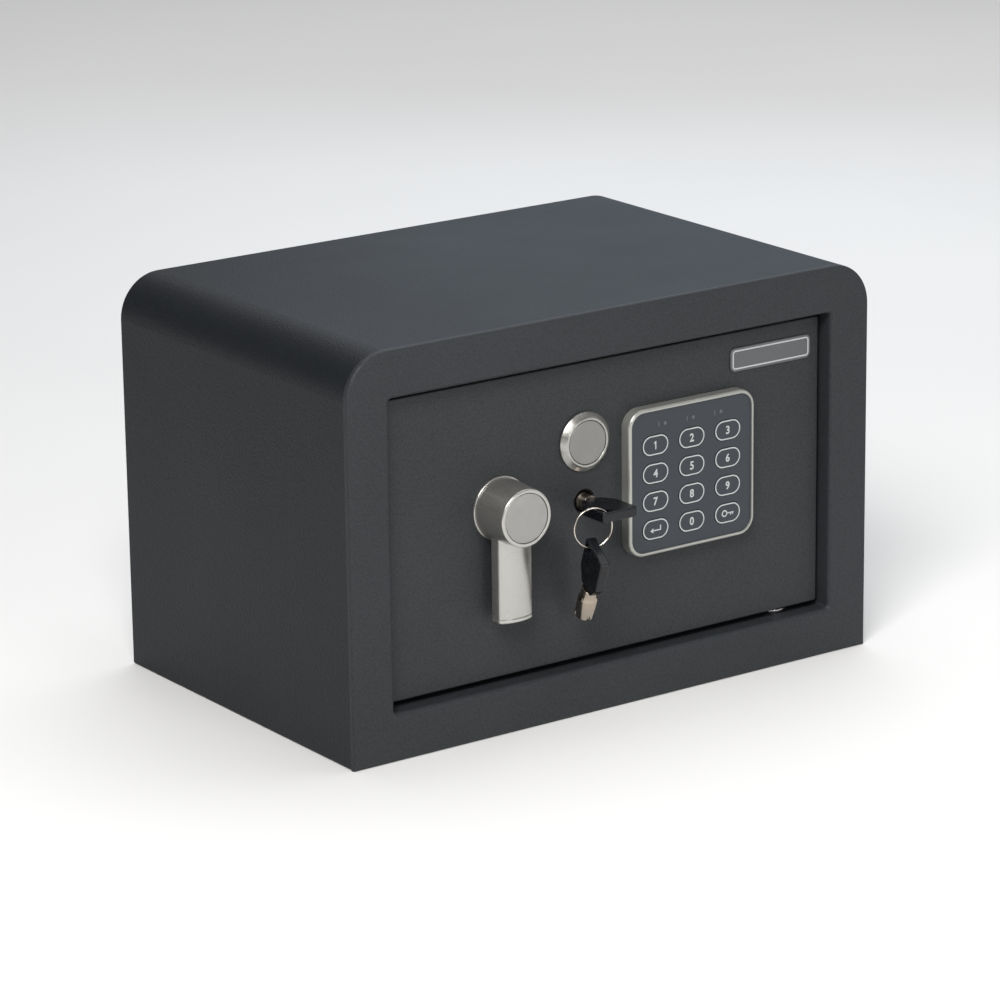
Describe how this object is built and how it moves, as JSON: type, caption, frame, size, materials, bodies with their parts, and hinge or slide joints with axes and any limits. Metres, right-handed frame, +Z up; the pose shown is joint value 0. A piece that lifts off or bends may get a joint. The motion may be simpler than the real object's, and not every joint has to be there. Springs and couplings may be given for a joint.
{
  "type": "electronic home safe",
  "caption": "Small steel safe with rounded top edges, recessed hinged door, lever handle, keypad, covered override lock and tubular keys on a ring.",
  "frame": {"origin": "centre of the underside of the case, on the surface it stands on", "axes": "+X to the right seen from the front, +Y to the back, +Z up"},
  "size_m": [0.31, 0.2321, 0.2],
  "materials": {
    "case_paint": "textured satin powder coat",
    "door_paint": "textured satin powder coat",
    "inside_paint": "satin powder coat",
    "zinc_steel": "zinc plated",
    "bright_steel": "bright plated",
    "spring_steel": "drawn wire",
    "dark_metal": "blackened",
    "satin_silver": "satin metallic lacquer",
    "silver_disc": "fine matt",
    "silver_plate": "matt",
    "panel_plastic": "satin film",
    "keypad_key": "satin with printed outline",
    "lens_plastic": "smoked",
    "circuit_board": "solder mask",
    "copper_coil": "enamelled copper winding",
    "black_plastic": "fine texture",
    "battery_sleeve": "plain sleeve",
    "cable_plastic": "ribbon",
    "key_plastic": "moulded satin",
    "key_metal": "nickel plated",
    "ring_nickel": "nickel plated",
    "button_plastic": "moulded",
    "felt": "needled felt"
  },
  "bodies": {
    "case": {"case_wrap": "case_paint", "front_frame": "case_paint", "back_panel": "case_paint", "base_plate": "case_paint", "hinge_pins": "zinc_steel", "hinge_washers": "bright_steel", "floor_mat": "felt"},
    "door": {"door_plate": "door_paint", "hinge_lugs": "inside_paint", "dog_bar": "inside_paint", "inner_cover": "inside_paint", "cover_screws": "zinc_steel", "nameplate": "silver_plate", "keypad_housing": "satin_silver", "keypad_panel": "panel_plastic", "led_lenses": "lens_plastic", "keypad_board": "circuit_board", "keypad_screws": "zinc_steel", "handle_bush": "satin_silver", "door_studs": "zinc_steel", "solenoid_frame": "zinc_steel", "solenoid_coil": "copper_coil", "plunger_spring": "spring_steel", "lock_housing": "dark_metal", "battery_box": "black_plastic", "battery_cells": "battery_sleeve", "control_board": "circuit_board", "keypad_cable": "cable_plastic"},
    "handle": {"handle": "satin_silver", "handle_inset": "silver_disc", "handle_end_cap": "satin_silver", "handle_spindle": "zinc_steel", "handle_crank": "zinc_steel", "spindle_nut": "zinc_steel"},
    "bolts": {"bolt_plate": "zinc_steel", "live_bolts": "bright_steel"},
    "plunger": {"solenoid_plunger": "bright_steel"},
    "lock_core": {"lock_plug": "dark_metal", "lock_cam": "zinc_steel"},
    "lock_cover": {"lock_cover": "satin_silver", "lock_cover_disc": "silver_disc"},
    "lock_key": {"lock_key_bow": "key_plastic", "lock_key_shank": "key_metal"},
    "key_ring": {"key_ring": "ring_nickel"},
    "spare_key": {"spare_key_bow": "key_plastic", "spare_key_shank": "key_metal"},
    "battery_lid": {"battery_lid": "black_plastic"},
    "reset_button": {"reset_button": "button_plastic"},
    "key_0": {"key_0": "keypad_key"},
    "key_1": {"key_1": "keypad_key"},
    "key_2": {"key_2": "keypad_key"},
    "key_3": {"key_3": "keypad_key"},
    "key_4": {"key_4": "keypad_key"},
    "key_5": {"key_5": "keypad_key"},
    "key_6": {"key_6": "keypad_key"},
    "key_7": {"key_7": "keypad_key"},
    "key_8": {"key_8": "keypad_key"},
    "key_9": {"key_9": "keypad_key"},
    "key_clear": {"key_clear": "keypad_key"},
    "key_enter": {"key_enter": "keypad_key"}
  },
  "joints": [
    {"name": "door_swing", "type": "hinge", "parent": "case", "child": "door", "pos_m": [0.107, -0.084, 0.0236], "axis": [0, 0, 1], "range_deg": [0, 110]},
    {"name": "handle_turn", "type": "hinge", "parent": "door", "child": "handle", "pos_m": [-0.0645, -0.114, 0.1106], "axis": [0, 1, 0], "range_deg": [0, 90]},
    {"name": "bolt_slide", "type": "slide", "parent": "door", "child": "bolts", "axis": [-1, 0, 0], "range_m": [0, 0.0161]},
    {"name": "plunger_slide", "type": "slide", "parent": "door", "child": "plunger", "axis": [0, 0, 1], "range_m": [0, 0.005], "stiffness_N_per_m": 40, "deforming": ["plunger_spring"]},
    {"name": "lock_turn", "type": "hinge", "parent": "door", "child": "lock_core", "pos_m": [-0.0152, -0.0925, 0.105], "axis": [0, 1, 0], "range_deg": [-90, 0]},
    {"name": "cover_swing", "type": "hinge", "parent": "door", "child": "lock_cover", "pos_m": [-0.0152, -0.0925, 0.1234], "axis": [0, 1, 0], "range_deg": [-90, 0]},
    {"name": "key_pull", "type": "slide", "parent": "lock_core", "child": "lock_key", "axis": [0, -1, 0], "range_m": [0, 0.02]},
    {"name": "ring_swing", "type": "hinge", "parent": "lock_key", "child": "key_ring", "pos_m": [-0.02085, -0.11885, 0.105], "axis": [0.9703, -0.2419, 0], "range_deg": [-8, 6]},
    {"name": "spare_turn", "type": "hinge", "parent": "key_ring", "child": "spare_key", "pos_m": [-0.02821, -0.11702, 0.1], "axis": [0.1219, 0.9925, 0], "range_deg": [0, 90]},
    {"name": "battery_lid_slide", "type": "slide", "parent": "door", "child": "battery_lid", "axis": [0, 0, 1], "range_m": [0, 0.058]},
    {"name": "reset_press", "type": "slide", "parent": "door", "child": "reset_button", "axis": [0, -1, 0], "range_m": [0, 0.0008], "stiffness_N_per_m": 600},
    {"name": "key_0_press", "type": "slide", "parent": "door", "child": "key_0", "axis": [0, 1, 0], "range_m": [0, 0.0006], "stiffness_N_per_m": 800},
    {"name": "key_1_press", "type": "slide", "parent": "door", "child": "key_1", "axis": [0, 1, 0], "range_m": [0, 0.0006], "stiffness_N_per_m": 800},
    {"name": "key_2_press", "type": "slide", "parent": "door", "child": "key_2", "axis": [0, 1, 0], "range_m": [0, 0.0006], "stiffness_N_per_m": 800},
    {"name": "key_3_press", "type": "slide", "parent": "door", "child": "key_3", "axis": [0, 1, 0], "range_m": [0, 0.0006], "stiffness_N_per_m": 800},
    {"name": "key_4_press", "type": "slide", "parent": "door", "child": "key_4", "axis": [0, 1, 0], "range_m": [0, 0.0006], "stiffness_N_per_m": 800},
    {"name": "key_5_press", "type": "slide", "parent": "door", "child": "key_5", "axis": [0, 1, 0], "range_m": [0, 0.0006], "stiffness_N_per_m": 800},
    {"name": "key_6_press", "type": "slide", "parent": "door", "child": "key_6", "axis": [0, 1, 0], "range_m": [0, 0.0006], "stiffness_N_per_m": 800},
    {"name": "key_7_press", "type": "slide", "parent": "door", "child": "key_7", "axis": [0, 1, 0], "range_m": [0, 0.0006], "stiffness_N_per_m": 800},
    {"name": "key_8_press", "type": "slide", "parent": "door", "child": "key_8", "axis": [0, 1, 0], "range_m": [0, 0.0006], "stiffness_N_per_m": 800},
    {"name": "key_9_press", "type": "slide", "parent": "door", "child": "key_9", "axis": [0, 1, 0], "range_m": [0, 0.0006], "stiffness_N_per_m": 800},
    {"name": "key_clear_press", "type": "slide", "parent": "door", "child": "key_clear", "axis": [0, 1, 0], "range_m": [0, 0.0006], "stiffness_N_per_m": 800},
    {"name": "key_enter_press", "type": "slide", "parent": "door", "child": "key_enter", "axis": [0, 1, 0], "range_m": [0, 0.0006], "stiffness_N_per_m": 800}
  ],
  "couplings": [
    {"joint": "bolt_slide", "follows": "handle_turn", "m_per_rad": 0.010186},
    {"joint": "spare_turn", "follows": "lock_turn", "ratio": -1}
  ]
}
